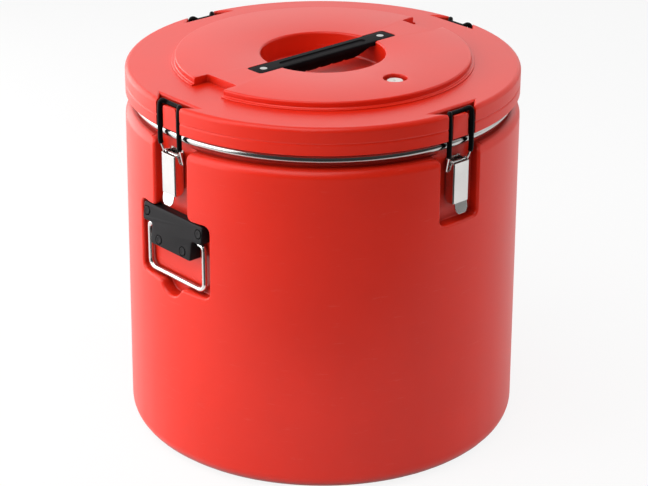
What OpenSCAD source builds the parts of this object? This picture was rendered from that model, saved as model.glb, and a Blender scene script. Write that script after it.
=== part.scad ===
// Round insulated food container: moulded shell, steel pot, lift-off lid,
// four toggle latches with sleeved wire loops and two drop handles.
// Millimetres, +Z up, origin at the centre of the base.
// Side pieces are drawn on the +X side (x = outwards, y = along the wall)
// and turned to their place.

/* [Shell] */
// Outer radius of the shell just under the shoulder
shell_top_r = 214; // [208:0.5:222]
// Growth of the shell's radius from the shoulder to the foot
shell_draft = 2.5; // [0:0.25:4]
// Height of the flat ring on top of the shell
shell_h = 371; // [350:1:420]
// Wall of the shell moulding
shell_wall = 5; // [4:0.5:6]
// Round of the shoulder
shoulder_round = 10; // [6:0.5:12]
// Round of the foot
foot_round = 20; // [10:1:24]
// Depth of the shallow hollow under the base
base_hollow = 3; // [1:0.5:3.5]
// Width of the ring that the base stands on
stand_ring = 14; // [8:1:30]

/* [Pot] */
// Distance between the pot's inner face and the shell's outer face
jacket = 36; // [32:0.5:44]
// Sheet of the pot
pot_sheet = 1; // [0.8:0.1:1.5]
// Height of the pot floor over the ground
pot_floor = 36; // [30:1:60]
// Inner round between pot wall and pot floor
pot_round = 24; // [10:1:40]
// Distance of the rolled rim from the shell's outer face
rim_set = 7; // [6:0.25:8]
// Radius of the roll itself
roll_r = 5; // [4:0.25:5.5]

/* [Lid] */
// Distance of the lid's side from the shell's outer face
lid_set = 0.5; // [0:0.25:1]
// Space between the rolled rim and the lid's lower edge
lid_seat = 2; // [1.5:0.25:3]
// Height of the lid's side
lid_side_h = 29.5; // [27:0.5:36]
// Round of the lid's upper edge
lid_round = 5; // [2:0.5:6]
// Wall of the lid mouldings
lid_wall = 3.5; // [3:0.25:4]
// Height of the mould seam over the lid's lower edge
seam_h = 12.3; // [8:0.1:14]
// Depth of the mould seam
seam_depth = 0.8; // [0.4:0.1:1.2]
// Width of the lid's margin round the raised plateau
plateau_margin = 53.5; // [48:0.5:58]
// Rise of the plateau over the lid's margin
plateau_h = 8.5; // [6:0.5:10]
// Rise of the small step at the foot of the plateau
plateau_step = 1.6; // [0.8:0.1:3]
// Half width of the two notches in the plateau
notch_half = 24; // [18:0.5:28]
// Depth of those notches from the plateau's edge
notch_depth = 20; // [12:0.5:24]
// Depth of the plug that enters the pot
plug_depth = 13; // [8:0.5:20]
// Space between plug and pot
plug_gap = 2.5; // [1.5:0.25:4]
// Radius of the grip pocket
pocket_r = 67.5; // [60:0.5:75]
// Depth of the grip pocket under the plateau
pocket_depth = 26; // [22:0.5:28]

/* [Lid handle] */
// Length of the handle bar
bar_len = 196; // [180:1:210]
// Width of the handle bar
bar_w = 23; // [20:0.5:28]
// Thickness of the bar's flat ends
bar_plate = 5; // [4:0.25:6]
// Depth of the grip under the plateau
grip_depth = 17.8; // [14:0.2:19]
// Length of the shallow groove on top of the bar
groove_len = 122; // [100:1:126]
// Distance of the handle screws from the axis
handle_screw_r = 84; // [80:0.5:88]

/* [Vent] */
// Distance of the vent from the axis
vent_r = 113; // [100:0.5:125]
// Radius of the vent recess
vent_recess_r = 12.7; // [11:0.1:15]
// Depth of the vent recess
vent_recess_depth = 5; // [4:0.25:6]
// Radius of the plug's head
vent_head_r = 8.7; // [7:0.1:10]
// Radius of the plug's stem
vent_stem_r = 4.5; // [3:0.1:6]

/* [Latches] */
// Depth of the recess floor under the shell's outer face
recess_in = 14; // [12:0.25:15]
// Half width of the latch recess
recess_half = 26.5; // [24:0.5:30]
// Depth of the latch recess under the top of the shell
recess_depth = 80; // [76:0.5:84]
// Outer width of the lever
lever_w = 22.4; // [20:0.2:23]
// Length of the lever's channel
lever_len = 44; // [40:0.5:48]
// Distance of the lever's face from the recess floor
lever_stand = 13.8; // [12.5:0.1:15]
// Sheet of lever and latch base
sheet = 1.2; // [1:0.1:1.5]
// Distance of the lever pivot from the recess floor
pivot_stand = 6.3; // [5.8:0.1:7]
// Depth of the lever pivot under the top of the shell
pivot_drop = 16.2; // [15:0.1:18]
// Radius of the lever pin
pin_r = 2; // [1.5:0.1:2.4]
// Distance between lever pivot and wire pivot
wire_arm = 8.2; // [7:0.1:9]
// Angle by which the wire pivot lies past centre
over_centre = 12.7; // [8:0.1:16]
// Radius of the loop wire
wire_r = 1.25; // [1:0.05:1.5]
// Outer radius of the sleeve on the loop
sleeve_r = 2.7; // [2.2:0.1:3]
// Half distance between the legs of the loop
leg_half = 15.7; // [15:0.1:17]
// Half width of the hook pocket in the lid's margin at its inner wall
hook_half = 30.5; // [28:0.5:32]
// Half width of that pocket at the lid's edge
hook_mouth = 25; // [24:0.5:27]
// Radial depth of that pocket
hook_depth = 13.2; // [13:0.1:15]
// Half width of the upright recess in the lid's side
slot_half = 22; // [20:0.5:23]
// Half width of the tab that holds the loop
tab_half = 10.5; // [8:0.25:11]
// Thickness of that tab
tab_t = 3.2; // [2.8:0.1:3.4]
// Depth of the tab's face under the lid's side
tab_set = 3; // [2.6:0.1:3.2]

/* [Drop handles] */
// Half width of the handle recess
grab_half = 55.5; // [54:0.5:60]
// Depth of the upper edge of the handle recess under the top of the shell
grab_drop = 81; // [80:0.5:95]
// Height of the handle recess
grab_h = 81; // [79:0.5:86]
// Radius of the finger notch under the recess
finger_r = 17; // [14:0.5:20]
// Half width of the bracket across its ears
ear_half = 49; // [47:0.5:51]
// Half width of the bracket under its ears
wedge_half = 33.5; // [32:0.5:35]
// Height of the bracket
bracket_h = 42; // [40:0.5:44]
// Height of the bracket's ears
ear_h = 20; // [18:0.5:21]
// Thickness of the bracket at its top
bracket_top_t = 9.2; // [8.5:0.1:11]
// Thickness of the bracket at its lower edge
bracket_low_t = 14.2; // [12:0.1:16]
// Radius of the drop handle's wire
bail_r = 2.75; // [2.25:0.05:3]
// Half distance between the legs of the drop handle
bail_half = 45.5; // [43:0.25:46]
// Drop of the handle from its pivot to its bar
bail_drop = 51; // [44:0.5:52]
// Distance of the drop handle from the recess floor
bail_stand = 4.5; // [4:0.1:6]

/* [Fits] */
// Clearance round a shaft or screw in its hole
shaft_gap = 0.06; // [0.02:0.01:0.09]
// Clearance between poured foam and its skin
foam_gap = 0.2; // [0.1:0.05:0.4]
// Clearance between pieces that part from each other
part_gap = 0.3; // [0.2:0.05:0.6]

/* [Hidden] */
$fn = 96;
SIDES = [["right", 0], ["back", 90], ["left", 180], ["front", 270]];
GRABS = [["right", 0], ["left", 180]];

RED = [0.82, 0.2, 0.16];
FOAM = [0.93, 0.87, 0.66];
STEEL = [0.78, 0.79, 0.8];
BLACK = [0.13, 0.13, 0.14];
GREY = [0.82, 0.82, 0.8];

over = 1;
end_flat = 0.1;
shell_foot_r = shell_top_r + shell_draft;
pot_r = shell_top_r - jacket;
rim_r = shell_top_r - rim_set;
lid_r = shell_top_r - lid_set;
recess_r = shell_top_r - recess_in;
mouth_gap = 2;
mouth_r = pot_r + pot_sheet + mouth_gap;
cavity_round = 12;
roll_c = [rim_r - roll_r, shell_h + roll_r];
roll_slit = 2;

lid_z = shell_h + 2 * roll_r + lid_seat;
lid_top = lid_z + lid_side_h;
plateau_top = lid_top + plateau_h;
plateau_r = lid_r - plateau_margin;
plateau_ledge = 3.5;
notch_r = plateau_r - notch_depth;
plateau_round = 2;
plug_r = pot_r - plug_gap;
plug_round = 8;
pocket_z = plateau_top - pocket_depth;
pocket_lip = 2.5;
pocket_floor_round = 3;
gasket_w = 8;
gasket_in = 2;
gasket_lap = 1;
gasket_r = rim_r - roll_r + gasket_lap - gasket_w;

bar_z = plateau_top - bar_plate;
bar_round = 4;
grip_gap = 4;
grip_half = pocket_r - grip_gap;
grip_heel = 2;
grip_slope = [16, 1.5];
grip_flat = 22;
grip_w = 16;
grip_round = 6.5;
grip_wave_r = 14;
grip_wave_step = 18;
grip_wave_h = 1.3;
groove_w = 8;
groove_depth = 1.2;
screw_r = 1.9;
screw_head_r = 4;
screw_head_h = 1.2;

vent_floor = plateau_top - vent_recess_depth;
vent_head_h = 2;
vent_stem_h = 14;
vent_post_wall = 3;
vent_dot_r = 1;

recess_low = shell_h - recess_depth;
recess_round = 6;
pivot = [recess_r + pivot_stand, shell_h - pivot_drop];
wire_pivot = pivot - wire_arm * [sin(over_centre), cos(over_centre)];
lug_r = 4.2;
lug_dip = 0.8;
face_rise = 1.8;
lever_face = recess_r + lever_stand;
lever_top = pivot[1] + lug_r;
face_top = pivot[1] + face_rise;
lever_low = face_top - lever_len;
lever_back = pivot[0] - lug_r;
lever_cut = 4;
tongue_w = 17.4;
tongue_len = 12;
tongue_flare = 12;
base_gap = 0.5;
base_half = lever_w / 2 - sheet - base_gap;
base_over = 5.5;
base_len = 42;
ear_r = 4;
pin_end = 0.8;
pin_half = lever_w / 2 + pin_end;
pin_head_r = 2.8;
pin_head_h = 0.65;
rivet_r = 1.9;
rivet_head_r = 3.5;
rivet_head_h = 1;
rivet_drops = [33, 45];

hook_floor_drop = 13;
hook_floor = lid_top - hook_floor_drop;
hook_r = lid_r - hook_depth;
loop_gap = 0.5;
rim_gap = 1;
leg_r = rim_r + rim_gap + sleeve_r;
slot_r = leg_r - sleeve_r - loop_gap;
tab_drop = 5;
tab_top = lid_top - tab_drop;
tab_r = lid_r - tab_set;
tab_corner = 3;
bar_drop = 4.9;
hip_drop = 11.5;
knee_drop = 4;
loop_bar = [tab_r - tab_t - sleeve_r - loop_gap, lid_top - bar_drop];
peg_tip = 0.1;
peg_in = lever_w / 2 - sheet - peg_tip;
peg_gap = 0.75;
peg_out = lever_w / 2 + peg_gap + wire_r;
// Centre line of one side of the loop, from the peg in the lever to the bar behind the tab
loop_side = [
    [wire_pivot[0], peg_in, wire_pivot[1]],
    [wire_pivot[0], peg_out, wire_pivot[1]],
    [leg_r, leg_half, shell_h - knee_drop],
    [leg_r, leg_half, lid_top - hip_drop],
    [loop_bar[0], leg_half, loop_bar[1]]];
knee_bend = 12;
hip_bend = 5;
bar_bend = 4.5;
loop_bends = [1.3 * wire_r, knee_bend, hip_bend, bar_bend];
sleeve_start = 0.88;

grab_top = shell_h - grab_drop;
grab_z = grab_top - grab_h;
grab_round = 7;
bracket_drop = 1;
bracket_top = grab_top - bracket_drop;
bracket_low = bracket_top - bracket_h;
ear_low = bracket_top - ear_h;
ear_chamfer = 3;
ear_gap = 1.3;
bail_pivot = [recess_r + bail_stand, ear_low - ear_gap - bail_r];
bail_peg = 12;
bail_bend = 5;
bail_low_bend = 9;
cap_r = 5;
cap_t = 2;
cap_proud = 0.4;
cap_side = 6;
cap_drop = 9;
cap_mid = 20;
cap_rise = 7;
cap_places = [[ear_half - cap_side, bracket_top - cap_drop], [cap_mid, bracket_low + cap_rise]];
bracket_tilt = atan((bracket_low_t - bracket_top_t) / bracket_h);

function mirrored(points) = [for (i = [len(points) - 1:-1:0])
    [points[i][0], -points[i][1], points[i][2]]];
function reversed(list) = [for (i = [len(list) - 1:-1:0]) list[i]];
function unit(v) = v / norm(v);
function turn(a, b, c) = acos(max(-1, min(1, unit(b - a) * unit(c - b))));
// Bends are drawn a hair thicker than the straights, which reach a little way into them,
// so that the two join whatever the angle
bend_swell = 0.03;
bend_lap = 0.2;
function trim(a, b, c, bend) = bend * tan(turn(a, b, c) / 2);

// A quarter-rounded block in the half plane: [0, r] by [low, high], rounds at its outer corners
module rounded_section(r, low, high, low_round, high_round) {
    polygon([[0, low], [r - low_round, low], [r, low + low_round],
             [r, high - high_round], [r - high_round, high], [0, high]]);
    if (low_round > 0) translate([r - low_round, low + low_round]) circle(low_round);
    if (high_round > 0) translate([r - high_round, high - high_round]) circle(high_round);
}

// A rectangle from -half to half and from low to high, with rounded corners
module rounded_rect(half, low, high, round) {
    translate([-half, low + round]) square([2 * half, high - low - 2 * round]);
    translate([-half + round, low]) square([2 * (half - round), high - low]);
    for (x = [-half + round, half - round]) for (y = [low + round, high - round])
        translate([x, y]) circle(round);
}

// Turns a flat outline in (y, z) into a block that runs outwards from x = from to x = to
module outwards(from, to) {
    translate([from, 0, 0]) rotate([90, 0, 90]) linear_extrude(to - from) children();
}

// Turns a flat outline in (x, z) into a block that runs along y from -half to half
module along(half) {
    rotate([90, 0, 0]) linear_extrude(2 * half, center = true) children();
}

// Turns a flat outline in (x, z) into a plate that runs along y from low to high
module along_from(low, high) {
    translate([0, high, 0]) rotate([90, 0, 0]) linear_extrude(high - low) children();
}

module cylinder_out(r, from, to, y, z) {
    translate([from, y, z]) rotate([0, 90, 0]) cylinder(r = r, h = to - from);
}

module cylinder_along(r, half, x, z) {
    translate([x, 0, z]) rotate([90, 0, 0]) cylinder(r = r, h = 2 * half, center = true);
}

// Places children drawn along +Z from the origin on the line from a to b
module on_line(a, b) {
    d = b - a;
    translate(a) rotate([0, acos(d[2] / norm(d)), atan2(d[1], d[0])]) children();
}

// A round rod through the points, with a bend of its own radius at each inner point
module bent_rod(points, bends, r) {
    last = len(points) - 1;
    cuts = [for (i = [0:last]) i == 0 || i == last ? 0
        : trim(points[i - 1], points[i], points[i + 1], bends[i - 1])];
    for (i = [0:last - 1]) {
        d = unit(points[i + 1] - points[i]);
        a = points[i] + (cuts[i] - (i > 0 ? bend_lap : 0)) * d;
        b = points[i + 1] - (cuts[i + 1] - (i < last - 1 ? bend_lap : 0)) * d;
        on_line(a, b) cylinder(r = r, h = norm(b - a));
    }
    for (i = [1:last - 1]) rod_bend(points[i - 1], points[i], points[i + 1], bends[i - 1], cuts[i], r);
}

// The arc that joins two straights at b, turned into their plane
module rod_bend(a, b, c, bend, cut, r) {
    u = unit(b - a);
    w = unit(cross(u, unit(c - b)));
    n = cross(w, u);
    start = b - cut * u;
    multmatrix([[-n[0], u[0], w[0], start[0] + bend * n[0]],
                [-n[1], u[1], w[1], start[1] + bend * n[1]],
                [-n[2], u[2], w[2], start[2] + bend * n[2]],
                [0, 0, 0, 1]])
        rotate_extrude(angle = turn(a, b, c)) translate([bend, 0]) circle(r + bend_swell);
}

// The hollows in the shell's wall, each grown by the given amount
module latch_recess(grow, low) {
    outwards(recess_r - grow, shell_foot_r + over)
        rounded_rect(recess_half + grow, low - grow, shell_h + 4 * recess_round, recess_round + grow);
}

module grab_recess(grow) {
    outwards(recess_r - grow, shell_foot_r + over)
        rounded_rect(grab_half + grow, grab_z - grow, grab_top + grow, grab_round + grow);
    cylinder_out(finger_r + grow, recess_r - grow, shell_foot_r + over, 0, bail_pivot[1] - bail_drop);
}

// Over a drop handle the latch recess runs on into the handle recess
module shell_recesses(grow) {
    for (s = SIDES) rotate(s[1])
        latch_recess(grow, s[1] % 180 == 0 ? grab_top - 2 * recess_round : recess_low);
    for (s = GRABS) rotate(s[1]) grab_recess(grow);
}

module shell_form() {
    rotate_extrude() difference() {
        union() {
            polygon([[0, 0], [shell_foot_r - foot_round, 0], [shell_foot_r, foot_round],
                     [shell_top_r, shell_h - shoulder_round], [shell_top_r - shoulder_round, shell_h],
                     [0, shell_h]]);
            translate([shell_foot_r - foot_round, foot_round]) circle(foot_round);
            translate([shell_top_r - shoulder_round, shell_h - shoulder_round]) circle(shoulder_round);
        }
        square([shell_foot_r - foot_round - stand_ring, base_hollow]);
    }
}

// The space between shell and pot, with a gap to the shell's skin
module shell_cavity(gap) {
    inset = shell_wall + gap;
    rotate_extrude()
        polygon([[0, base_hollow + inset], [shell_foot_r - inset - cavity_round, base_hollow + inset],
                 [shell_foot_r - inset, base_hollow + inset + cavity_round],
                 [shell_top_r - inset, shell_h - inset - cavity_round],
                 [shell_top_r - inset - cavity_round, shell_h - inset], [0, shell_h - inset]]);
}

module pot_form(gap) {
    outer = pot_sheet + gap;
    rotate_extrude() rounded_section(pot_r + outer, pot_floor - outer, shell_h + over, pot_round + outer, 0);
}

module outer_shell() {
    color(RED) difference() {
        shell_form();
        shell_recesses(0);
        difference() {
            shell_cavity(0);
            shell_recesses(shell_wall);
        }
        translate([0, 0, shell_h - shell_wall - over]) cylinder(r = mouth_r, h = shell_wall + 2 * over);
        for (s = SIDES) rotate(s[1]) rivet_holes();
        for (s = GRABS) rotate(s[1]) bracket_holes(recess_r - shell_wall - over);
    }
}

module rivet_holes() {
    for (drop = rivet_drops)
        cylinder_out(rivet_r + shaft_gap, recess_r - shell_wall - over, recess_r + 2 * over,
                     0, shell_h - drop);
}

module bracket_holes(from) {
    for (side = [-1, 1]) for (p = cap_places)
        cylinder_out(screw_r + shaft_gap, from, recess_r + bracket_low_t, side * p[0], p[1]);
}

module insulation_foam() {
    color(FOAM) difference() {
        shell_cavity(foam_gap);
        shell_recesses(shell_wall + foam_gap);
        pot_form(foam_gap);
        for (s = SIDES) rotate(s[1]) for (drop = rivet_drops)
            cylinder_out(rivet_head_r, recess_r - 2 * shell_wall, recess_r, 0, shell_h - drop);
        for (s = GRABS) rotate(s[1]) for (side = [-1, 1]) for (p = cap_places)
            cylinder_out(screw_head_r, recess_r - 3 * shell_wall, recess_r, side * p[0], p[1]);
    }
}

module inner_pot() {
    color(STEEL) rotate_extrude() difference() {
        union() {
            rounded_section(pot_r + pot_sheet, pot_floor - pot_sheet, shell_h + pot_sheet,
                            pot_round + pot_sheet, 0);
            translate([pot_r, shell_h]) square([roll_c[0] - pot_r, pot_sheet]);
            translate(roll_c) circle(roll_r);
        }
        translate(roll_c) circle(roll_r - pot_sheet);
        translate([roll_c[0] - roll_r - over, shell_h + pot_sheet])
            square([roll_r + over, roll_slit]);
        rounded_section(pot_r, pot_floor, shell_h + 2 * roll_r, pot_round, 0);
    }
}

module lid_form() {
    rotate_extrude() difference() {
        union() {
            rounded_section(lid_r, lid_z, lid_top, 0, lid_round);
            rounded_section(plateau_r + plateau_ledge, lid_top - over, lid_top + plateau_step, 0, 0);
            rounded_section(plateau_r, lid_top - over, plateau_top, 0, plateau_round);
        }
        polygon([[lid_r + over, lid_z + seam_h - seam_depth - over],
                 [lid_r - seam_depth, lid_z + seam_h],
                 [lid_r + over, lid_z + seam_h + seam_depth + over]]);
        rounded_section(pocket_r, pocket_z, plateau_top + over, pocket_floor_round, 0);
        difference() {
            translate([pocket_r - over, plateau_top - pocket_lip])
                square([pocket_lip + over, pocket_lip + over]);
            translate([pocket_r + pocket_lip, plateau_top - pocket_lip]) circle(pocket_lip);
        }
    }
}

// The hollows in the lid, each grown by the given amount
module hook_pocket(grow) {
    translate([0, 0, hook_floor - grow]) linear_extrude(lid_side_h)
        polygon([[hook_r - grow, -hook_half - grow], [lid_r + over, -hook_mouth - grow],
                 [lid_r + over, hook_mouth + grow], [hook_r - grow, hook_half + grow]]);
}

module leg_slot(grow) {
    translate([slot_r - grow, -slot_half - grow, lid_z - over - grow])
        cube([lid_r - slot_r + grow + over, 2 * (slot_half + grow), lid_side_h + 2 * over + grow]);
}

module hook_tab() {
    intersection() {
        along(tab_half) {
            translate([tab_r - tab_t, lid_z - 2 * over])
                square([tab_t, tab_top - lid_z + 2 * over - tab_t / 2]);
            translate([tab_r - tab_t / 2, tab_top - tab_t / 2]) circle(tab_t / 2);
        }
        outwards(tab_r - 2 * tab_t, tab_r + over)
            rounded_rect(tab_half, lid_z - lid_side_h / 2, tab_top, tab_corner);
    }
}

module plateau_notch(grow) {
    translate([0, 0, lid_top - grow]) linear_extrude(2 * plateau_h + grow)
        translate([notch_r - grow, 0]) rotate(-90)
            rounded_rect(notch_half + grow, 0, plateau_r, pocket_lip + grow);
}

module bar_outline(grow) {
    rotate(-90) rounded_rect(bar_w / 2 + grow, -bar_len / 2 - grow, bar_len / 2 + grow, bar_round + grow);
}

module lid_hollows(grow) {
    for (s = SIDES) rotate(s[1]) {
        hook_pocket(grow);
        leg_slot(grow);
    }
    for (s = GRABS) rotate(s[1]) plateau_notch(grow);
    translate([0, 0, bar_z - grow]) linear_extrude(2 * bar_plate + grow) bar_outline(part_gap + grow);
    translate([0, -vent_r, vent_floor - grow])
        cylinder(r = vent_recess_r + grow, h = 2 * vent_recess_depth + grow);
}

// The space inside the lid, with a gap to the lid's skin
module lid_cavity(gap) {
    inset = lid_wall + gap;
    difference() {
        rotate_extrude() {
            rounded_section(lid_r - inset, lid_z - over, lid_top - inset, 0, 0);
            rounded_section(plateau_r - inset, lid_z - over, plateau_top - inset, 0, 0);
        }
        translate([0, 0, pocket_z - inset]) cylinder(r = pocket_r + inset, h = pocket_depth);
        lid_hollows(inset);
        translate([0, -vent_r, lid_z - plug_depth])
            cylinder(r = vent_stem_r + vent_post_wall + gap, h = plug_depth + lid_side_h);
    }
}

module lid_shell() {
    color(RED) difference() {
        union() {
            difference() {
                lid_form();
                difference() {
                    lid_hollows(0);
                    for (s = SIDES) rotate(s[1]) hook_tab();
                }
                lid_cavity(0);
            }
            translate([0, -vent_r, lid_z - plug_depth + lid_wall])
                cylinder(r = vent_stem_r + vent_post_wall, h = plug_depth);
        }
        translate([0, -vent_r, lid_z - plug_depth - over])
            cylinder(r = vent_stem_r + shaft_gap, h = 2 * lid_side_h + plug_depth);
        handle_screw_holes();
    }
}

module handle_screw_holes() {
    for (x = [-1, 1]) translate([x * handle_screw_r, 0, bar_z - lid_wall - over])
        cylinder(r = screw_r + shaft_gap, h = lid_wall + bar_plate + 2 * over);
}

module lid_base_section() {
    difference() {
        union() {
            rounded_section(lid_r - lid_wall - foam_gap, lid_z, lid_z + lid_wall, 0, 0);
            rounded_section(plug_r, lid_z - plug_depth, lid_z + lid_wall, plug_round, 0);
        }
        rounded_section(plug_r - lid_wall, lid_z - plug_depth + lid_wall, lid_z + lid_wall + over,
                        plug_round - lid_wall, 0);
        translate([gasket_r, lid_z - over]) square([gasket_w, gasket_in + over]);
    }
}

module lid_base() {
    color(RED) difference() {
        rotate_extrude() lid_base_section();
        for (s = SIDES) rotate(s[1]) leg_slot(lid_wall + foam_gap);
        translate([0, -vent_r, lid_z - plug_depth - over])
            cylinder(r = vent_stem_r + part_gap, h = lid_wall + 2 * over);
    }
}

module lid_foam() {
    foam_z = lid_z + lid_wall + foam_gap;
    color(FOAM) {
        intersection() {
            lid_cavity(foam_gap);
            translate([0, 0, foam_z]) cylinder(r = lid_r, h = lid_side_h + plateau_h);
        }
        difference() {
            rotate_extrude()
                rounded_section(plug_r - lid_wall - foam_gap, foam_z - plug_depth, foam_z,
                                plug_round - lid_wall, 0);
            translate([0, -vent_r, lid_z - plug_depth])
                cylinder(r = vent_stem_r + vent_post_wall + foam_gap, h = 2 * plug_depth);
        }
    }
}

module lid_gasket() {
    color(GREY) rotate_extrude() translate([gasket_r, lid_z - lid_seat + part_gap])
        square([gasket_w, gasket_in + lid_seat - part_gap]);
}

module grip_outline() {
    low = plateau_top - grip_depth + grip_wave_h;
    side = [[grip_half, bar_z + over], [grip_half, bar_z - grip_heel],
            [grip_half - grip_slope[0], low + grip_slope[1]], [grip_half - grip_flat, low]];
    polygon(concat(side, [for (p = reversed(side)) [-p[0], p[1]]]));
    for (i = [-2:2]) translate([i * grip_wave_step, low - grip_wave_h + grip_wave_r]) circle(grip_wave_r);
}

module lid_handle() {
    color(BLACK) difference() {
        union() {
            translate([0, 0, bar_z]) linear_extrude(bar_plate) bar_outline(0);
            intersection() {
                along(bar_w / 2) grip_outline();
                outwards(-grip_half - over, grip_half + over)
                    rounded_rect(grip_w / 2, plateau_top - grip_depth - over, plateau_top - over, grip_round);
            }
        }
        translate([0, 0, plateau_top - groove_depth]) linear_extrude(2 * groove_depth)
            rotate(-90) rounded_rect(groove_w / 2, -groove_len / 2, groove_len / 2, groove_w / 2 - end_flat);
        handle_screw_holes();
        for (x = [-1, 1]) translate([x * handle_screw_r, 0, plateau_top - screw_head_h])
            cylinder(r = screw_head_r + shaft_gap, h = 2 * screw_head_h);
    }
}

module lid_handle_screws() {
    color(STEEL) for (x = [-1, 1]) translate([x * handle_screw_r, 0, 0]) {
        translate([0, 0, bar_z - lid_wall])
            cylinder(r = screw_r, h = lid_wall + bar_plate - screw_head_h / 2);
        translate([0, 0, plateau_top - screw_head_h]) cylinder(r = screw_head_r, h = screw_head_h);
    }
}

module vent_plug() {
    color(GREY) translate([0, -vent_r, vent_floor + part_gap]) difference() {
        union() {
            rotate_extrude() rounded_section(vent_head_r, 0, vent_head_h, 0, vent_head_h / 2);
            translate([0, 0, -vent_stem_h]) cylinder(r = vent_stem_r, h = vent_stem_h + over);
        }
        translate([0, 0, vent_head_h / 2]) cylinder(r = vent_dot_r, h = vent_head_h);
    }
}

module latch_base(angle) {
    color(STEEL) rotate(angle) difference() {
        union() {
            outwards(recess_r, recess_r + sheet)
                translate([-base_half, pivot[1] + base_over - base_len]) square([2 * base_half, base_len]);
            for (y = [-base_half, base_half - sheet]) along_from(y, y + sheet) {
                translate([recess_r, pivot[1] - ear_r]) square([pivot_stand, 2 * ear_r]);
                translate(pivot) circle(ear_r);
            }
        }
        cylinder_along(pin_r + shaft_gap, pin_half, pivot[0], pivot[1]);
        rivet_holes();
    }
}

module latch_pin(angle) {
    color(STEEL) rotate(angle) {
        cylinder_along(pin_r, pin_half, pivot[0], pivot[1]);
        for (y = [-pin_half + pin_head_h / 2, pin_half - pin_head_h / 2])
            translate([0, y, 0]) cylinder_along(pin_head_r, pin_head_h / 2, pivot[0], pivot[1]);
    }
}

module latch_rivets() {
    color(STEEL) for (s = SIDES) rotate(s[1]) for (drop = rivet_drops) {
        cylinder_out(rivet_r, recess_r - shell_wall, recess_r + sheet, 0, shell_h - drop);
        cylinder_out(rivet_head_r, recess_r + sheet, recess_r + sheet + rivet_head_h, 0, shell_h - drop);
    }
}

module lever_side_outline() {
    polygon([[pivot[0], lever_top - lug_dip], [lever_face, face_top], [lever_face, lever_low],
             [lever_back + lever_cut, lever_low], [lever_back, lever_low + lever_cut],
             [lever_back, pivot[1]]]);
    translate(pivot) circle(lug_r);
}

module lever_section() {
    corner = 1.5 * sheet;
    difference() {
        union() {
            translate([lever_back, -lever_w / 2]) square([lever_face - lever_back - corner, lever_w]);
            translate([lever_back, -lever_w / 2 + corner])
                square([lever_face - lever_back, lever_w - 2 * corner]);
            for (y = [-lever_w / 2 + corner, lever_w / 2 - corner])
                translate([lever_face - corner, y]) circle(corner);
        }
        translate([lever_back - over, -lever_w / 2 + sheet])
            square([lever_face - lever_back - sheet + over, lever_w - 2 * sheet]);
    }
}

module tongue() {
    tip = [lever_face + tongue_len * sin(tongue_flare), lever_low - tongue_len * cos(tongue_flare)];
    inner = sheet * [cos(tongue_flare), sin(tongue_flare)];
    intersection() {
        along(lever_w / 2)
            polygon([[lever_face - sheet, lever_low + over], [lever_face, lever_low + over],
                     [lever_face, lever_low], tip, tip - inner, [lever_face - sheet, lever_low]]);
        outwards(lever_back, lever_face + tongue_len)
            rounded_rect(tongue_w / 2, tip[1] - over, lever_top, tongue_w / 2 - end_flat);
    }
}

module latch_lever(angle) {
    color(STEEL) rotate(angle) difference() {
        union() {
            intersection() {
                translate([0, 0, lever_low]) linear_extrude(lever_top - lever_low) lever_section();
                along(lever_w) lever_side_outline();
            }
            tongue();
        }
        cylinder_along(pin_r + shaft_gap, lever_w, pivot[0], pivot[1]);
        cylinder_along(wire_r + shaft_gap, lever_w, wire_pivot[0], wire_pivot[1]);
    }
}

module latch_wire(angle) {
    color(STEEL) rotate(angle)
        bent_rod(concat(loop_side, mirrored(loop_side)), concat(loop_bends, reversed(loop_bends)), wire_r);
}

module sleeve_rod(r) {
    run = loop_side[2] - loop_side[1];
    half = concat([loop_side[1] + sleeve_start * run], [for (i = [2:len(loop_side) - 1]) loop_side[i]]);
    bends = [for (i = [1:len(loop_bends) - 1]) loop_bends[i]];
    bent_rod(concat(half, mirrored(half)), concat(bends, reversed(bends)), r);
}

module latch_sleeve(angle) {
    color(BLACK) rotate(angle) difference() {
        sleeve_rod(sleeve_r);
        sleeve_rod(wire_r + shaft_gap);
    }
}

// Side view of the bracket between two heights, thicker towards its lower edge
module bracket_profile(low, high, proud) {
    slope = tan(bracket_tilt);
    polygon([[recess_r, low], [recess_r + bracket_top_t + (bracket_top - low) * slope + proud, low],
             [recess_r + bracket_top_t + (bracket_top - high) * slope + proud, high], [recess_r, high]]);
}

module handle_bracket(angle) {
    color(BLACK) rotate(angle) difference() {
        union() {
            intersection() {
                along(ear_half) bracket_profile(ear_low, bracket_top, 0);
                outwards(recess_r - over, recess_r + 2 * bracket_low_t)
                    rounded_rect(ear_half, ear_low - ear_h, bracket_top, ear_chamfer);
            }
            along(wedge_half) bracket_profile(bracket_low, bracket_top - ear_chamfer, 0);
        }
        bracket_holes(recess_r - over);
        for (side = [-1, 1]) for (p = cap_places)
            cylinder_out(cap_r + shaft_gap, cap_floor(p), recess_r + 2 * bracket_low_t, side * p[0], p[1]);
        for (side = [-1, 1])
            translate([0, side * (wedge_half - bail_peg / 2 - shaft_gap + over), 0])
                cylinder_along(bail_r + shaft_gap, bail_peg / 2 + over, bail_pivot[0], bail_pivot[1]);
    }
}

// Distance from the axis of the seat under a cover disc
function cap_floor(p) = recess_r + bracket_top_t + (bracket_top - p[1]) * tan(bracket_tilt) - cap_t;

module bracket_caps() {
    color(BLACK) for (s = GRABS) rotate(s[1]) for (side = [-1, 1]) for (p = cap_places)
        intersection() {
            cylinder_out(cap_r, cap_floor(p), recess_r + 2 * bracket_low_t, side * p[0], p[1]);
            along(ear_half) bracket_profile(bracket_low, bracket_top, cap_proud);
        }
}

module bracket_screws() {
    color(STEEL) for (s = GRABS) rotate(s[1]) for (side = [-1, 1]) for (p = cap_places)
        cylinder_out(screw_r, recess_r - 2 * shell_wall, cap_floor(p), side * p[0], p[1]);
}

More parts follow.
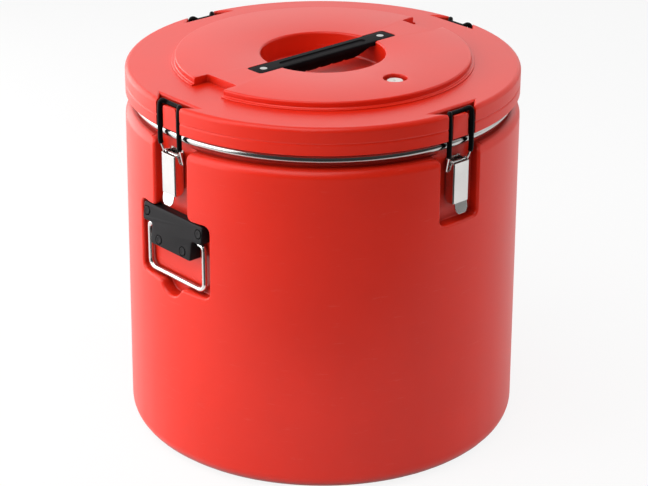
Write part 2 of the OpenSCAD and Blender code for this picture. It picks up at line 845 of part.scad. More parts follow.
module bail(angle) {
    half = [[bail_pivot[0], wedge_half - bail_peg, bail_pivot[1]],
            [bail_pivot[0], bail_half, bail_pivot[1]],
            [bail_pivot[0], bail_half, bail_pivot[1] - bail_drop]];
    color(STEEL) rotate(angle)
        bent_rod(concat(half, mirrored(half)), [bail_bend, bail_low_bend, bail_low_bend, bail_bend], bail_r);
}

outer_shell();
insulation_foam();
inner_pot();
latch_rivets();
bracket_screws();
bracket_caps();
lid_shell();
lid_foam();
lid_base();
lid_gasket();
lid_handle();
lid_handle_screws();
vent_plug();
for (s = SIDES) {
    latch_base(s[1]);
    latch_pin(s[1]);
    latch_lever(s[1]);
    latch_wire(s[1]);
    latch_sleeve(s[1]);
}
for (s = GRABS) {
    handle_bracket(s[1]);
    bail(s[1]);
}
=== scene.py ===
"""Models and finishes the visible pieces of a round insulated food container and sets its studio stage."""

import math

import bmesh
import bpy
from mathutils import Matrix, Vector


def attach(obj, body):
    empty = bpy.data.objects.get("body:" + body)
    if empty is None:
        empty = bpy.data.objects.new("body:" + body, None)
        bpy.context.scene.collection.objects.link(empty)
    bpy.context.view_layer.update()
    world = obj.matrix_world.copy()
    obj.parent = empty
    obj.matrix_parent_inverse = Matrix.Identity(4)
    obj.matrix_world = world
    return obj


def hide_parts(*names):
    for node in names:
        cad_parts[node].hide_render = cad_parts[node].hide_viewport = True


bl_info = {
    "name": "Insulated food container",
    "version": (1, 0, 0),
    "blender": (4, 5, 0),
    "location": "3D View > Sidebar > Container",
    "description": "Models and finishes the visible pieces of an insulated food container",
    "category": "Object",
}

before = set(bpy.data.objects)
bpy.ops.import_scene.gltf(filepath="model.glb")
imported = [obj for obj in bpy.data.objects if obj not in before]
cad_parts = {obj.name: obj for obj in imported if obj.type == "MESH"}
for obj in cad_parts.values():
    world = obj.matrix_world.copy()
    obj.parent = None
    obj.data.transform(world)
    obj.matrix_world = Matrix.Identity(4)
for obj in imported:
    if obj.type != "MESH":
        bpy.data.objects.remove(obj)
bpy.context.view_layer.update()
MM = 0.001
SHARP = math.radians(35)
SIDES = {"right": 0, "back": 90, "left": 180, "front": 270}
GRAB_SIDES = ("right", "left")

# Sizes of the shell in millimetres; its shoulder is lower than the solid's, for the dark band under the lid
SHELL_H, SHELL_TOP_R, SHELL_FOOT_R = 371.0, 214.0, 216.5
SHOULDER_H, SHOULDER_ROUND, FOOT_ROUND = 367.0, 10.0, 20.0
SHELL_WALL, BASE_HOLLOW = 5.0, 3.0
RECESS_R, RECESS_HALF, RECESS_LOW = 200.0, 26.5, 291.0
GRAB_HALF, GRAB_LOW, GRAB_TOP = 55.5, 209.0, 290.0
BAIL_BAR_Z, FINGER_R = 213.95, 17.0
OVER_SHELL, OUTSIDE_R = SHELL_H + 9, SHELL_FOOT_R + 20

# Sizes of the lid; cutting tools run from under it to over it
LID_R, LID_Z, LID_TOP, LID_ROUND = 213.5, 383.0, 412.5, 5.0
LID_WALL, LID_GAP, LID_SEAM, LID_LEDGE = 3.5, 0.3, 0.8, 3.5
PLATEAU_R, PLATEAU_TOP, PLATEAU_ROUND = 160.0, 421.0, 2.0
POCKET_R, POCKET_Z, POCKET_ROUND = 67.5, 395.0, 2.5
HOOK_R, HOOK_HALF, HOOK_FLOOR = 198.5, 30.5, 399.5
NOTCH_R, NOTCH_HALF = 140.0, 24.0
VENT_Y, VENT_R, VENT_HOLE_R, PAN_HOLE_R = -113.0, 12.7, 4.7, 4.8
HANDLE_BAR, SEAT_DEPTH = (196.0, 23.0, 4.0), 5.0
UNDER_LID, OVER_LID = 350.0, 430.0

# Sizes of the brackets, with the places of their cover discs along and up
BRACKET_LOW, EAR_LOW, BRACKET_TOP = 247.0, 269.0, 289.0
BRACKET_THIN, BRACKET_SLOPE = 9.2, 5.0 / 42.0
CAP_PLACES = [(hand * along, height)
              for along, height in ((43.0, 280.0), (20.0, 254.0)) for hand in (-1, 1)]

# The floor in metres, and where its pale part and the pale side of the room end in reflections; past that
# edge the floor shows reflections a painted dark room colour
FLOOR_R, FLOOR_GLOW, MIRROR_GLOW = 9.0, 0.88, 0.45
PAINTED_REFLECTION_EDGE = (0.36, 0.62)
PAINTED_DARK_ROOM = (0.06, 0.06, 0.06)
DARK_TURN = (-0.35, 0.35)

# Softboxes: turn from the camera in degrees, then distance, height and size in metres; one isn't mirrored
SOFTBOXES = {
    "left": (-72, 1.5, 0.7, (1.3, 1.9)),
    "side": (-122, 1.4, 0.5, (1.3, 1.3)),
    "right": (95, 1.5, 0.7, (1.0, 1.6)),
    "top": (-30, 0.9, 1.9, (1.5, 1.5)),
    "back": (180, 2.4, 1.5, (3.4, 1.8)),
}
UNMIRRORED = "right"
LAMP_AIM = (0.0, 0.0, 0.22)


def linear(red, green, blue):
    """A colour picked in 8-bit screen values, as the linear values that shaders take."""
    def channel(value):
        share = value / 255
        return share / 12.92 if share <= 0.04045 else ((share + 0.055) / 1.055) ** 2.4
    return channel(red), channel(green), channel(blue)


def round_setting(name, description, default, high, low=0.0004):
    return bpy.props.FloatProperty(
        name=name, description=description, default=default, min=low, max=high, unit="LENGTH")


def colour_setting(name, description, *screen_values):
    return bpy.props.FloatVectorProperty(
        name=name, description=description, subtype="COLOR", size=3, min=0, max=1,
        default=linear(*screen_values))


def power_setting(name, description, default):
    return bpy.props.FloatProperty(name=name, description=description, default=default, unit="POWER")


class ShapeSettings(bpy.types.PropertyGroup):
    """Rounds that the moulds leave on the visible edges, in metres."""

    mouth: round_setting(
        "Recess mouth", "Round where a recess meets the shell's skin", 0.004, 0.0045, 0.001)
    fold: round_setting("Recess floor", "Round where a recess wall meets its floor", 0.0016, 0.003, 0.0005)
    corner: round_setting(
        "Panel corner", "Round of the shell's corners beside the recesses", 0.0075, 0.009, 0.0068)
    hook_edge: round_setting("Hook edge", "Round of the edges at the lid's hook pockets", 0.0012, 0.0016)
    notch_edge: round_setting("Notch edge", "Round of the edges at the plateau's notches", 0.0015, 0.002)
    bracket_edge: round_setting("Bracket edge", "Round of the bracket's outer edges", 0.0012, 0.002)
    handle_edge: round_setting("Handle edge", "Round of the lid handle's upper edges", 0.0014, 0.002)


class FinishSettings(bpy.types.PropertyGroup):
    """Colours of the container's materials."""

    red: colour_setting("Skin", "Colour of the moulded shell and lid", 224, 37, 13)
    black: colour_setting("Black plastic", "Colour of brackets and lid handle", 20, 18, 20)
    sleeve: colour_setting("Sleeve", "Colour of the tubes on the wire loops", 11, 10, 11)
    steel: colour_setting("Steel", "Colour of bright steel", 224, 222, 220)
    vent: colour_setting("Vent plug", "Colour of the vent plug", 222, 219, 214)
    gasket: colour_setting("Gasket", "Colour of the lid's gasket", 206, 205, 200)
    foam: colour_setting("Foam", "Colour of the poured foam", 238, 222, 170)


class StageSettings(bpy.types.PropertyGroup):
    """Camera, lamps and floor."""

    lens: bpy.props.FloatProperty(
        name="Lens", description="Focal length of the camera", default=118.82, unit="CAMERA")
    camera_place: bpy.props.FloatVectorProperty(
        name="Camera place", description="Where the camera stands", subtype="TRANSLATION", size=3,
        default=(-1.46218, -1.63539, 1.16106))
    camera_aim: bpy.props.FloatVectorProperty(
        name="Camera aim", description="Point that the camera looks at", subtype="TRANSLATION", size=3,
        default=(0.00159, -0.00142, 0.19533))
    camera_roll: bpy.props.FloatProperty(
        name="Camera roll", description="Turn of the camera about its view", default=math.radians(0.306),
        unit="ROTATION")
    floor_colour: bpy.props.FloatVectorProperty(
        name="Floor", description="Colour of the floor", subtype="COLOR", size=3, min=0, max=1,
        default=(0.92, 0.92, 0.92))
    world_light: bpy.props.FloatProperty(
        name="Room light", description="Strength of the light from all round", default=0.13)
    dark_side: bpy.props.FloatProperty(
        name="Dark side", description="Strength of the room's camera side in reflections", default=0.06)
    left_power: power_setting("Left softbox", "Power of the softbox on the camera's left", 22)
    side_power: power_setting("Side softbox", "Power of the softbox behind on the left", 14)
    right_power: power_setting("Right softbox", "Power of the softbox on the camera's right", 10)
    top_power: power_setting("Top softbox", "Power of the softbox overhead", 20.5)
    back_power: power_setting("Back softbox", "Power of the wide softbox behind", 8)


class Value:
    """A number socket in a node tree; arithmetic on it adds Math nodes."""

    def __init__(self, finish, socket):
        self.finish = finish
        self.socket = socket

    def maths(self, operation, first, second):
        made = self.finish.node("ShaderNodeMath", {"operation": operation}, {0: first, 1: second})
        return Value(self.finish, made.outputs[0])

    def __add__(self, other):
        return self.maths("ADD", self, other)

    def __radd__(self, other):
        return self.maths("ADD", other, self)

    def __sub__(self, other):
        return self.maths("SUBTRACT", self, other)

    def __rsub__(self, other):
        return self.maths("SUBTRACT", other, self)

    def __mul__(self, other):
        return self.maths("MULTIPLY", self, other)

    def __rmul__(self, other):
        return self.maths("MULTIPLY", other, self)


class Nodes:
    """A node tree under construction."""

    def __init__(self, owner):
        owner.use_nodes = True
        self.tree = owner.node_tree
        self.tree.nodes.clear()

    def node(self, kind, settings=None, inputs=None):
        """Adds a node; settings are set first, then each input gets a value or a link."""
        made = self.tree.nodes.new(kind)
        for key, value in (settings or {}).items():
            setattr(made, key, value)
        for key, value in (inputs or {}).items():
            if isinstance(value, Value):
                value = value.socket
            if isinstance(value, bpy.types.NodeSocket):
                self.tree.links.new(value, made.inputs[key])
            elif isinstance(value, tuple) and len(value) == 3 and made.inputs[key].type == "RGBA":
                made.inputs[key].default_value = (*value, 1.0)
            else:
                made.inputs[key].default_value = value
        return made

    def dot(self, first, second):
        made = self.node("ShaderNodeVectorMath", {"operation": "DOT_PRODUCT"}, {0: first, 1: second})
        return Value(self, made.outputs["Value"])

    def ray(self, kind):
        """One for rays of a kind, such as Is Camera Ray, and nought for others."""
        return Value(self, self.node("ShaderNodeLightPath").outputs[kind])

    def ranged(self, value, low, high, to_low=0.0, to_high=1.0):
        made = self.node("ShaderNodeMapRange", {"interpolation_type": "SMOOTHSTEP"}, {
            "Value": value, "From Min": low, "From Max": high, "To Min": to_low, "To Max": to_high})
        return Value(self, made.outputs["Result"])

    def mixed(self, factor, first, second):
        made = self.node("ShaderNodeMix", {"data_type": "RGBA"}, {"Factor": factor, 6: first, 7: second})
        return made.outputs[2]


class Finish(Nodes):
    """A material under construction."""

    def __init__(self, name):
        self.material = bpy.data.materials.new(name)
        super().__init__(self.material)
        self.output = self.node("ShaderNodeOutputMaterial")
        self.place = self.node("ShaderNodeTexCoord").outputs["Object"]

    def stretched(self, scale):
        """Object coordinates with each axis scaled."""
        made = self.node("ShaderNodeMapping", None, {"Vector": self.place, "Scale": scale})
        return made.outputs["Vector"]

    def noise(self, scale, detail=2.0, rough=0.5, vector=None):
        made = self.node("ShaderNodeTexNoise", None, {
            "Vector": vector or self.place, "Scale": scale, "Detail": detail, "Roughness": rough})
        return Value(self, made.outputs["Fac"])

    def clouded(self, cloud, colour, dark, pale, low=0.3, high=0.7):
        """A colour that goes from a darker to a paler shade as cloud rises from low to high."""
        return self.mixed(self.ranged(cloud, low, high), shade(colour, dark), shade(colour, pale))

    def cells(self, scale):
        made = self.node("ShaderNodeTexVoronoi", None, {"Vector": self.place, "Scale": scale})
        return Value(self, made.outputs["Distance"])

    def bump(self, height, distance, strength, normal=None):
        inputs = {"Height": height, "Distance": distance, "Strength": strength}
        if normal is not None:
            inputs["Normal"] = normal
        return self.node("ShaderNodeBump", None, inputs).outputs["Normal"]

    def softened(self, radius):
        """A normal that rounds off sharp edges by the given radius."""
        return self.node("ShaderNodeBevel", {"samples": 6}, {"Radius": radius}).outputs["Normal"]

    def openness(self, reach):
        """One where the surface lies open, less in a crevice narrower than reach."""
        made = self.node("ShaderNodeAmbientOcclusion", {"samples": 8}, {"Distance": reach})
        return Value(self, made.outputs["AO"])

    def surface(self, **sockets):
        shader = self.node("ShaderNodeBsdfPrincipled", None, {
            key.replace("_", " "): value for key, value in sockets.items()})
        self.tree.links.new(shader.outputs["BSDF"], self.output.inputs["Surface"])
        return self.material


def shade(colour, factor):
    return tuple(min(1.0, part * factor) for part in colour)


def moulded_skin(colour):
    """Rotation-moulded polyethylene: slow tone clouds, orange peel, a few rubbed places, and painted shade
    that darkens the crevices.
    """
    rub_colour, rub_share = (1.0, 0.62, 0.55), 0.03
    # Painted shade: an ambient-occlusion term darkens the base colour in crevices and recess corners
    painted_shade_reach, painted_crevice_shade = 0.03, 0.4
    finish = Finish("moulded_skin")
    cloud = finish.noise(7.0, 3.0)
    peel = finish.noise(420.0, 2.0)
    grain = finish.noise(2600.0, 1.0)
    rub = finish.ranged(finish.noise(34.0, 4.0, 0.65, finish.stretched((1.0, 1.0, 7.0))), 0.62, 0.72)
    free_of_painted_shade = finish.ranged(finish.openness(painted_shade_reach), 0.15, 0.75)
    tone = finish.mixed(rub * rub_share, finish.clouded(cloud, colour, 0.96, 1.03), rub_colour)
    tone = finish.mixed(free_of_painted_shade, shade(colour, painted_crevice_shade), tone)
    rough = 0.33 + cloud * 0.06 + rub * 0.05 - grain * 0.03
    height = peel * 0.7 + grain * 0.3
    return finish.surface(
        Base_Color=tone, Roughness=rough, Normal=finish.bump(height, 0.0001, 0.3), IOR=1.5,
        Specular_IOR_Level=0.35)


def moulded_black(name, colour, rough_level, edge, gloss):
    """Black plastic with a spark-eroded grain."""
    finish = Finish(name)
    grain = finish.noise(1500.0, 3.0, 0.6)
    cloud = finish.noise(24.0, 2.0)
    rough = rough_level + cloud * 0.08 - grain * 0.05
    return finish.surface(
        Base_Color=finish.clouded(cloud, colour, 0.85, 1.2), Roughness=rough,
        Normal=finish.bump(grain, 0.00012, 0.5, finish.softened(edge)), IOR=1.46, Specular_IOR_Level=gloss)


def bright_steel(name, colour, rough_level, streaks, edge):
    """Polished or brushed stainless steel; streaks scales the brushing's pattern on each axis."""
    finish = Finish(name)
    brush = finish.noise(60.0, 4.0, 0.7, finish.stretched(streaks))
    smear = finish.noise(30.0, 3.0)
    rough = rough_level + brush * 0.08 + smear * 0.05
    return finish.surface(
        Base_Color=finish.clouded(smear, colour, 0.93, 1.0, 0.35), Metallic=1.0, Roughness=rough,
        Normal=finish.bump(brush, 0.00002, 0.3, finish.softened(edge)))


def plain_rubber(name, colour, rough_level):
    """Matt rubber or hard plastic with a fine dusty grain."""
    edge = 0.0004
    finish = Finish(name)
    grain = finish.noise(1800.0, 2.0)
    cloud = finish.noise(40.0, 2.0)
    return finish.surface(
        Base_Color=finish.clouded(cloud, colour, 0.94, 1.03), Roughness=rough_level + grain * 0.1,
        Normal=finish.bump(grain, 0.00006, 0.4, finish.softened(edge)))


def poured_foam(colour):
    """Closed-cell foam: small cells in a cream mass."""
    finish = Finish("poured_foam")
    cell = finish.cells(620.0)
    cloud = finish.noise(18.0, 3.0)
    tone = finish.clouded(cell, colour, 0.78, 1.0, 0.1, 0.6)
    tone = finish.mixed(finish.ranged(cloud, 0.4, 0.8) * 0.25, tone, shade(colour, 0.85))
    return finish.surface(
        Base_Color=tone, Roughness=0.85 + cell * 0.1, Normal=finish.bump(cell, 0.0004, 0.6))


def paint_nodes(material, names):
    """Gives CAD nodes that keep their shape a finish of their own."""
    for name in names:
        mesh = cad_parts[name].data
        mesh.materials.clear()
        mesh.materials.append(material)


def stand_for(piece, nodes, body, material, degrees=35, rule=None):
    """Smooths and finishes a modelled piece, shows it for CAD nodes and lets it ride on their body."""
    smooth(piece, degrees, rule)
    piece.data.materials.clear()
    piece.data.materials.append(material)
    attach(piece, body)
    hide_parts(*nodes)


def on_sides(kind, sides=SIDES):
    return [f"{kind}_{side}" for side in sides]


def cos_sin(angle):
    """Cosine and sine of an angle in degrees."""
    return math.cos(math.radians(angle)), math.sin(math.radians(angle))


def arc(centre, radius, start, end, steps):
    """Points on an arc, from one angle in degrees to another."""
    angles = [math.radians(start + (end - start) * i / steps) for i in range(steps + 1)]
    return [(centre[0] + radius * math.cos(a), centre[1] + radius * math.sin(a)) for a in angles]


def bend(corner, turn, start, end, steps):
    """A right-angled corner rounded by an arc."""
    ends = [cos_sin(start), cos_sin(end)]
    centre = [place - turn * sum(part) for place, part in zip(corner, zip(*ends))]
    return arc(centre, turn, start, end, steps)


def mirrored(half):
    """Half an outline, from bottom to top, closed by its mirror image."""
    return half + [(-t, z) for t, z in reversed(half) if abs(t) > 1e-6]


def stepped(points, longest):
    """The points without doubles and with more of them on long straights."""
    double = 0.05
    apart = points[:1]
    for point in points[1:]:
        if math.dist(point, apart[-1]) > double:
            apart.append(point)
    full = []
    for here, after in zip(apart, apart[1:]):
        parts = max(1, math.ceil(math.dist(here, after) / longest))
        full += [tuple(a + (b - a) * i / parts for a, b in zip(here, after)) for i in range(parts)]
    return full + apart[-1:]


def offset(outline, distance):
    """An anticlockwise outline moved outwards; sharp corners reach only so far."""
    least, moved = 0.3, []
    for before, here, after in zip(outline[-1:] + outline[:-1], outline, outline[1:] + outline[:1]):
        come = (Vector(here) - Vector(before)).normalized()
        go = (Vector(after) - Vector(here)).normalized()
        side = Vector((come.y + go.y, -come.x - go.x)).normalized()
        reach = distance / max(least, side.dot(Vector((come.y, -come.x))))
        moved.append((here[0] + side.x * reach, here[1] + side.y * reach))
    return moved


def alone(piece):
    """Makes a piece the only one selected."""
    bpy.ops.object.select_all(action="DESELECT")
    bpy.context.view_layer.objects.active = piece
    piece.select_set(True)


def edit(piece):
    alone(piece)
    bpy.ops.object.mode_set(mode="EDIT")


def leave():
    bpy.ops.object.mode_set(mode="OBJECT")


def draw_line(name, points):
    """Draws a chain of edges through points in millimetres and stays in edit mode."""
    places = [Vector(point) * MM for point in points]
    bpy.ops.object.select_all(action="DESELECT")
    bpy.ops.mesh.primitive_plane_add(size=0.01)
    piece = bpy.context.object
    piece.name = piece.data.name = name
    bpy.ops.object.mode_set(mode="EDIT")
    bpy.ops.mesh.select_mode(type="VERT")
    bpy.ops.mesh.select_all(action="SELECT")
    bpy.ops.mesh.merge(type="CENTER")
    bpy.ops.transform.translate(value=places[0])
    for last, place in zip(places, places[1:]):
        bpy.ops.mesh.extrude_region_move(TRANSFORM_OT_translate={"value": place - last})
    bpy.ops.mesh.select_all(action="SELECT")
    return piece


def lathe(name, profile, sweeps):
    """Turns a profile of (radius, height) about the axis, in sweeps of (degrees, steps)."""
    piece = draw_line(name, [(radius, 0, height) for radius, height in profile])
    for angle, steps in sweeps:
        bpy.ops.mesh.spin(steps=steps, angle=math.radians(angle), center=(0, 0, 0), axis=(0, 0, 1))
    bpy.ops.mesh.select_all(action="SELECT")
    bpy.ops.mesh.remove_doubles(threshold=1e-6)
    bpy.ops.mesh.normals_make_consistent(inside=False)
    leave()
    return piece


def block(name, loops):
    """A closed block through loops of equally many points, from its first face to its last."""
    piece = draw_line(name, loops[0])
    bpy.ops.mesh.edge_face_add()
    for low, high in zip(loops, loops[1:]):
        bpy.ops.mesh.extrude_region_move()
        mesh = bmesh.from_edit_mesh(piece.data)
        for vertex in [v for v in mesh.verts if v.select]:
            apart = [(Vector(point) * MM - vertex.co).length_squared for point in low]
            vertex.co = Vector(high[apart.index(min(apart))]) * MM
        bmesh.update_edit_mesh(piece.data)
    bpy.ops.mesh.select_all(action="SELECT")
    bpy.ops.mesh.normals_make_consistent(inside=False)
    leave()
    return piece


def upright(name, outline, levels):
    """A block that stands on a flat outline, with one loop for each (height, growth)."""
    return block(name, [[(x, y, z) for x, y in offset(outline, grow)] for z, grow in levels])


def outward(name, outline, depths):
    """A block that runs outwards along +X from an outline in (along, height)."""
    return block(name, [[(depth, t, z) for t, z in outline] for depth in depths])


def placed(piece, angle=0.0, shift=(0, 0, 0)):
    """Turns and shifts a piece and sets both in its mesh."""
    alone(piece)
    piece.rotation_euler = (0, 0, math.radians(angle))
    piece.location = Vector(shift) * MM
    bpy.ops.object.transform_apply(location=True, rotation=True, scale=True)
    return piece


def copied(piece, name, angle=0.0, shift=(0, 0, 0)):
    """A copy with its own mesh, turned about the axis and shifted."""
    alone(piece)
    bpy.ops.object.duplicate(linked=False)
    made = bpy.context.object
    made.name = made.data.name = name
    return placed(made, angle, shift)


def combine(piece, tool, operation="DIFFERENCE"):
    """Cuts a tool out of a piece, or joins it on, and removes the tool."""
    alone(piece)
    change = piece.modifiers.new("combine", "BOOLEAN")
    change.operation, change.solver, change.object = operation, "EXACT", tool
    bpy.ops.object.modifier_apply(modifier=change.name)
    bpy.data.objects.remove(tool)


def joined(name, pieces):
    """Several pieces made one."""
    alone(pieces[0])
    for piece in pieces:
        piece.select_set(True)
    bpy.ops.object.join()
    made = bpy.context.object
    made.name = made.data.name = name
    return made


def discard(*pieces):
    """Takes away what was only there to be copied."""
    for piece in pieces:
        bpy.data.objects.remove(piece)


def cut_through(piece, outline, low=UNDER_LID, growth=0.0, angle=0.0):
    """Cuts an outline out of a lid piece, from a level to over the lid."""
    tool = upright("cut_tool", outline, [(low, growth), (OVER_LID, growth)])
    combine(piece, placed(tool, angle))


def round_edges(piece, near, width):
    """Bevels the outer edges that turn by more than SHARP and have both ends near."""
    edit(piece)
    bpy.ops.mesh.select_mode(type="EDGE")
    bpy.ops.mesh.select_all(action="DESELECT")
    mesh = bmesh.from_edit_mesh(piece.data)
    sharp = [edge for edge in mesh.edges if len(edge.link_faces) == 2 and edge.is_convex
             and edge.calc_face_angle(0) > SHARP]
    picked = [edge for edge in sharp if all(near(vertex.co) for vertex in edge.verts)]
    if not picked:
        raise RuntimeError(f"{piece.name}: no edge to round")
    for edge in picked:
        edge.select_set(True)
    bmesh.update_edit_mesh(piece.data)
    bpy.ops.mesh.bevel(offset=width, segments=3, affect="EDGES", clamp_overlap=True)
    leave()


def smooth(piece, degrees, rule):
    """Smooth shading up to an angle; a rule, if any, gives the normal where the true face is known."""
    alone(piece)
    bpy.ops.object.shade_smooth_by_angle(angle=math.radians(degrees))
    if rule is None:
        return
    mesh, agree = piece.data, 0.9
    known = [rule(vertex.co / MM) for vertex in mesh.vertices]
    normals = [(0, 0, 0)] * len(mesh.loops)
    for face in mesh.polygons:
        for corner in face.loop_indices:
            normal = known[mesh.loops[corner].vertex_index]
            if normal and normal.dot(face.normal) > agree:
                normals[corner] = normal
    mesh.normals_split_custom_set(normals)


def skin_radius(z):
    """Radius of the shell's skin at a height over the foot's round."""
    shoulder = SHOULDER_H - SHOULDER_ROUND
    if z > shoulder:
        rise = min(z, SHOULDER_H) - shoulder
        return SHELL_TOP_R - SHOULDER_ROUND + math.sqrt(SHOULDER_ROUND ** 2 - rise ** 2)
    return SHELL_FOOT_R + (SHELL_TOP_R - SHELL_FOOT_R) * (z - FOOT_ROUND) / (shoulder - FOOT_ROUND)


def skin_normal(place):
    """Normal of the shell's skin, or none away from it."""
    off_skin, over_foot, over_flank = 0.25, 2.0, 0.2
    shoulder, inner = SHOULDER_H - SHOULDER_ROUND, SHELL_TOP_R - SHOULDER_ROUND
    radius = math.hypot(place.x, place.y)
    if place.z < FOOT_ROUND + over_foot or abs(radius - skin_radius(place.z)) > off_skin:
        return None
    if place.z < shoulder + over_flank:
        draft = (SHELL_FOOT_R - SHELL_TOP_R) / (shoulder - FOOT_ROUND)
        return Vector((place.x, place.y, radius * draft)).normalized()
    if radius <= inner:
        return None
    share = (radius - inner) / radius
    return Vector((place.x * share, place.y * share, place.z - shoulder)).normalized()


def lid_normal(place):
    """Normal of the lid's side, margin or plateau, or none away from them."""
    near, level, off_ledge = 0.1, 0.01, 1.0
    radius = math.hypot(place.x, place.y)
    if abs(radius - LID_R) < near and LID_Z + LID_SEAM - near < place.z < LID_TOP - LID_ROUND + near:
        return Vector((place.x, place.y, 0)).normalized()
    on_margin = (abs(place.z - LID_TOP) < level
                 and PLATEAU_R + LID_LEDGE + off_ledge < radius < LID_R - LID_ROUND + near)
    on_plateau = (abs(place.z - PLATEAU_TOP) < level
                  and POCKET_R + POCKET_ROUND + near < radius < PLATEAU_R - PLATEAU_ROUND - near)
    return Vector((0, 0, 1)) if on_margin or on_plateau else None


def recess_tool(outline, fold, mouth):
    """A block in the shape of a recess: rounded at its floor and flared where it leaves the skin."""
    over_fold, flare, lift = 0.3, 2.5, 0.4
    loops = []
    for angle in (0, 30, 60, 90):
        cosine, sine = cos_sin(angle)
        floor = offset(outline, fold * (sine - 1))
        loops.append([(RECESS_R + fold * (1 - cosine), t, z) for t, z in floor])

    def ring(growth, depth):
        least, grown = RECESS_R + fold + over_fold, offset(outline, growth)
        return [(max(least, math.sqrt(skin_radius(z) ** 2 - t ** 2) - depth), t, z) for t, z in grown]

    for angle in (0, 15, 30, 45, 60, 72, 82):
        cosine, sine = cos_sin(angle)
        loops.append(ring(mouth * (1 - cosine), mouth * (1 - sine)))
    loops.append(ring(mouth * (1 - cosine) + flare, mouth * (1 - sine) - lift))
    loops.append([(OUTSIDE_R, t, z) for _, t, z in loops[-1]])
    return block("recess_tool", loops)


def rounded(length, width, radius, steps=6):
    """Outline of a flat rectangle with rounded corners, centred on the origin."""
    x, y = length / 2, width / 2
    return (bend((x, -y), radius, -90, 0, steps) + bend((x, y), radius, 0, 90, steps)
            + bend((-x, y), radius, 90, 180, steps) + bend((-x, -y), radius, 180, 270, steps))


def circle(centre, radius, sides):
    return arc(centre, radius, 0, 360 - 360 / sides, sides - 1)


def crowned(low, high, radius, steps=4):
    """Levels of an upright block whose upper edge is rounded."""
    angles = [math.radians(90 * i / steps) for i in range(steps + 1)]
    return [(low, 0)] + [(high - radius + radius * math.sin(a), radius * (math.cos(a) - 1)) for a in angles]


def skin(scene):
    """The finish that shell and lid share."""
    return bpy.data.materials.get("moulded_skin") or moulded_skin(tuple(scene.container_finish.red))


class CONTAINER_OT_shell(bpy.types.Operator):
    """Models the moulded shell with its latch and handle recesses"""

    bl_idname = "container.shell"
    bl_label = "Shell"

    def execute(self, context):
        shape = context.scene.container_shape
        shell = lathe("shell", self.profile(), self.sweeps())
        cavity = lathe("cavity_tool", self.cavity(), [(360, 96)])
        top = self.top(shape.corner / MM)
        for outline, angles in ((self.plain(top), (90, 270)), (self.grab(top), (0, 180))):
            recess = recess_tool(outline, shape.fold / MM, shape.mouth / MM)
            wall = offset(outline, SHELL_WALL)
            lining = outward("lining_tool", wall, (RECESS_R - SHELL_WALL, OUTSIDE_R))
            for piece, tool in ((shell, recess), (cavity, lining)):
                combine(piece, copied(tool, "recess_copy", angles[0]))
                combine(piece, placed(tool, angles[1]))
        combine(shell, cavity)
        stand_for(shell, ["outer_shell"], "root", skin(context.scene), 40, skin_normal)
        return {"FINISHED"}

    def sweeps(self):
        """Steps round the axis: fine ones beside the recesses, even ones between them."""
        half = [(2.3, 1), (2.3, 1), (4.6, 1), (3.0, 1), (5.0, 1), (27.8, 10)]
        return (half + half[::-1]) * len(SIDES)

    def profile(self):
        stand_r, mouth_r, step_r, mouth_depth = 182.5, 181.0, 201.0, SHELL_WALL + 1
        return ([(0, BASE_HOLLOW), (stand_r, BASE_HOLLOW), (stand_r, 0)]
                + bend((SHELL_FOOT_R, 0), FOOT_ROUND, -90, 0, 8)
                + bend((SHELL_TOP_R, SHOULDER_H), SHOULDER_ROUND, 0, 90, 8)
                + [(step_r, SHOULDER_H), (step_r, SHELL_H), (mouth_r, SHELL_H),
                   (mouth_r, SHELL_H - mouth_depth), (0, SHELL_H - mouth_depth)])

    def cavity(self):
        """Room for foam and pot inside the shell's wall."""
        turn, low, high = 12.0, BASE_HOLLOW + SHELL_WALL, SHELL_H - SHELL_WALL
        foot_r, top_r = SHELL_FOOT_R - SHELL_WALL, SHELL_TOP_R - SHELL_WALL
        return [(0, low), (foot_r - turn, low), (foot_r, low + turn), (top_r, high - turn),
                (top_r - turn, high), (0, high)]

    def top(self, corner):
        """Upper end of a latch recess, where the shell's corners bend away from it."""
        return bend((RECESS_HALF, SHOULDER_H), corner, 180, 90, 8) + [
            (RECESS_HALF + corner, OVER_SHELL)]

    def plain(self, top):
        turn = 6.0
        low = bend((RECESS_HALF, RECESS_LOW), turn, -90, 0, 6)
        return mirrored([(0, RECESS_LOW)] + low + top)

    def grab(self, top):
        """Handle recess with the finger notch below and the latch recess above."""
        turn, longest = 7.0, 6.0
        reach = math.asin((BAIL_BAR_Z - GRAB_LOW + turn) / (FINGER_R + turn))
        knee = ((FINGER_R + turn) * math.cos(reach), GRAB_LOW - turn)
        lean = math.degrees(reach)
        half = (arc((0, BAIL_BAR_Z), FINGER_R, -90, -lean, 10) + arc(knee, turn, 180 - lean, 90, 6)
                + bend((GRAB_HALF, GRAB_LOW), turn, -90, 0, 6) + bend((GRAB_HALF, GRAB_TOP), turn, 0, 90, 6)
                + bend((RECESS_HALF, GRAB_TOP), turn, 270, 180, 6))
        return mirrored(stepped(half, longest) + top)


